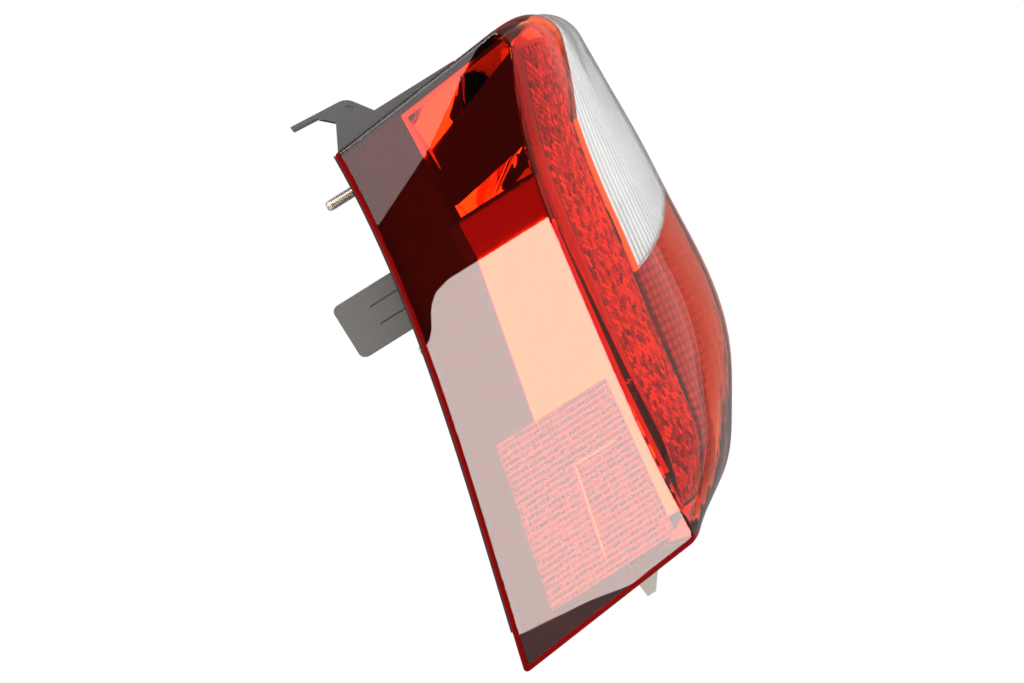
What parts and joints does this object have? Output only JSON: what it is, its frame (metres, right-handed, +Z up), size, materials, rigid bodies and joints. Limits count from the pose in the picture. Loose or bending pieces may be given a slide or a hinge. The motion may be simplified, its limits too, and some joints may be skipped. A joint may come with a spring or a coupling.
{
  "type": "tail light cluster",
  "caption": "Wrap-round rear lamp for the left corner of a car: red side and rear lens with a clear window, reflex plate, bulb holders and studs that fix it to the body.",
  "frame": {"origin": "axis of the upper mounting stud, on the mounting face of the housing", "axes": "+Y forward along the studs into the car body, +Z up, +X inboard; the side lens looks along -X and the rear lens along -Y"},
  "size_m": [0.15, 0.1974, 0.296],
  "materials": {
    "red_lens": "gloss",
    "clear_lens": "gloss",
    "black_rubber": "matte",
    "red_bead": "satin",
    "grey_housing": "satin",
    "metallised": "mirror",
    "red_reflex": "gloss",
    "clear_optic": "gloss",
    "red_optic": "gloss",
    "black_steel": "satin",
    "zinc_steel": "satin",
    "foam": "matte",
    "holder_plastic": "satin",
    "bulb_glass": "gloss",
    "amber_glass": "gloss",
    "contact_brass": "satin"
  },
  "bodies": {
    "root": {"lens_red": "red_lens", "lens_clear": "clear_lens", "lens_bead": "red_bead", "housing": "grey_housing", "side_reflector": "metallised", "side_reflex": "red_reflex", "corner_optic": "red_optic", "reverse_optic": "clear_optic", "tail_optic": "red_optic", "bracket": "black_steel", "studs": "zinc_steel", "bowl_screws": "zinc_steel", "panel_screws": "zinc_steel", "bracket_screws": "black_steel", "mounting_gasket": "foam", "front_strip": "foam", "vent_caps": "black_rubber", "contact_blades": "contact_brass", "seal_rings": "black_rubber", "reverse_bowl": "metallised", "turn_bowl": "metallised", "stop_tail_bowl": "metallised", "reverse_holder": "holder_plastic", "turn_holder": "holder_plastic", "stop_tail_holder": "holder_plastic", "reverse_bulb": "bulb_glass", "turn_bulb": "amber_glass", "stop_tail_bulb": "bulb_glass"}
  },
  "joints": []
}
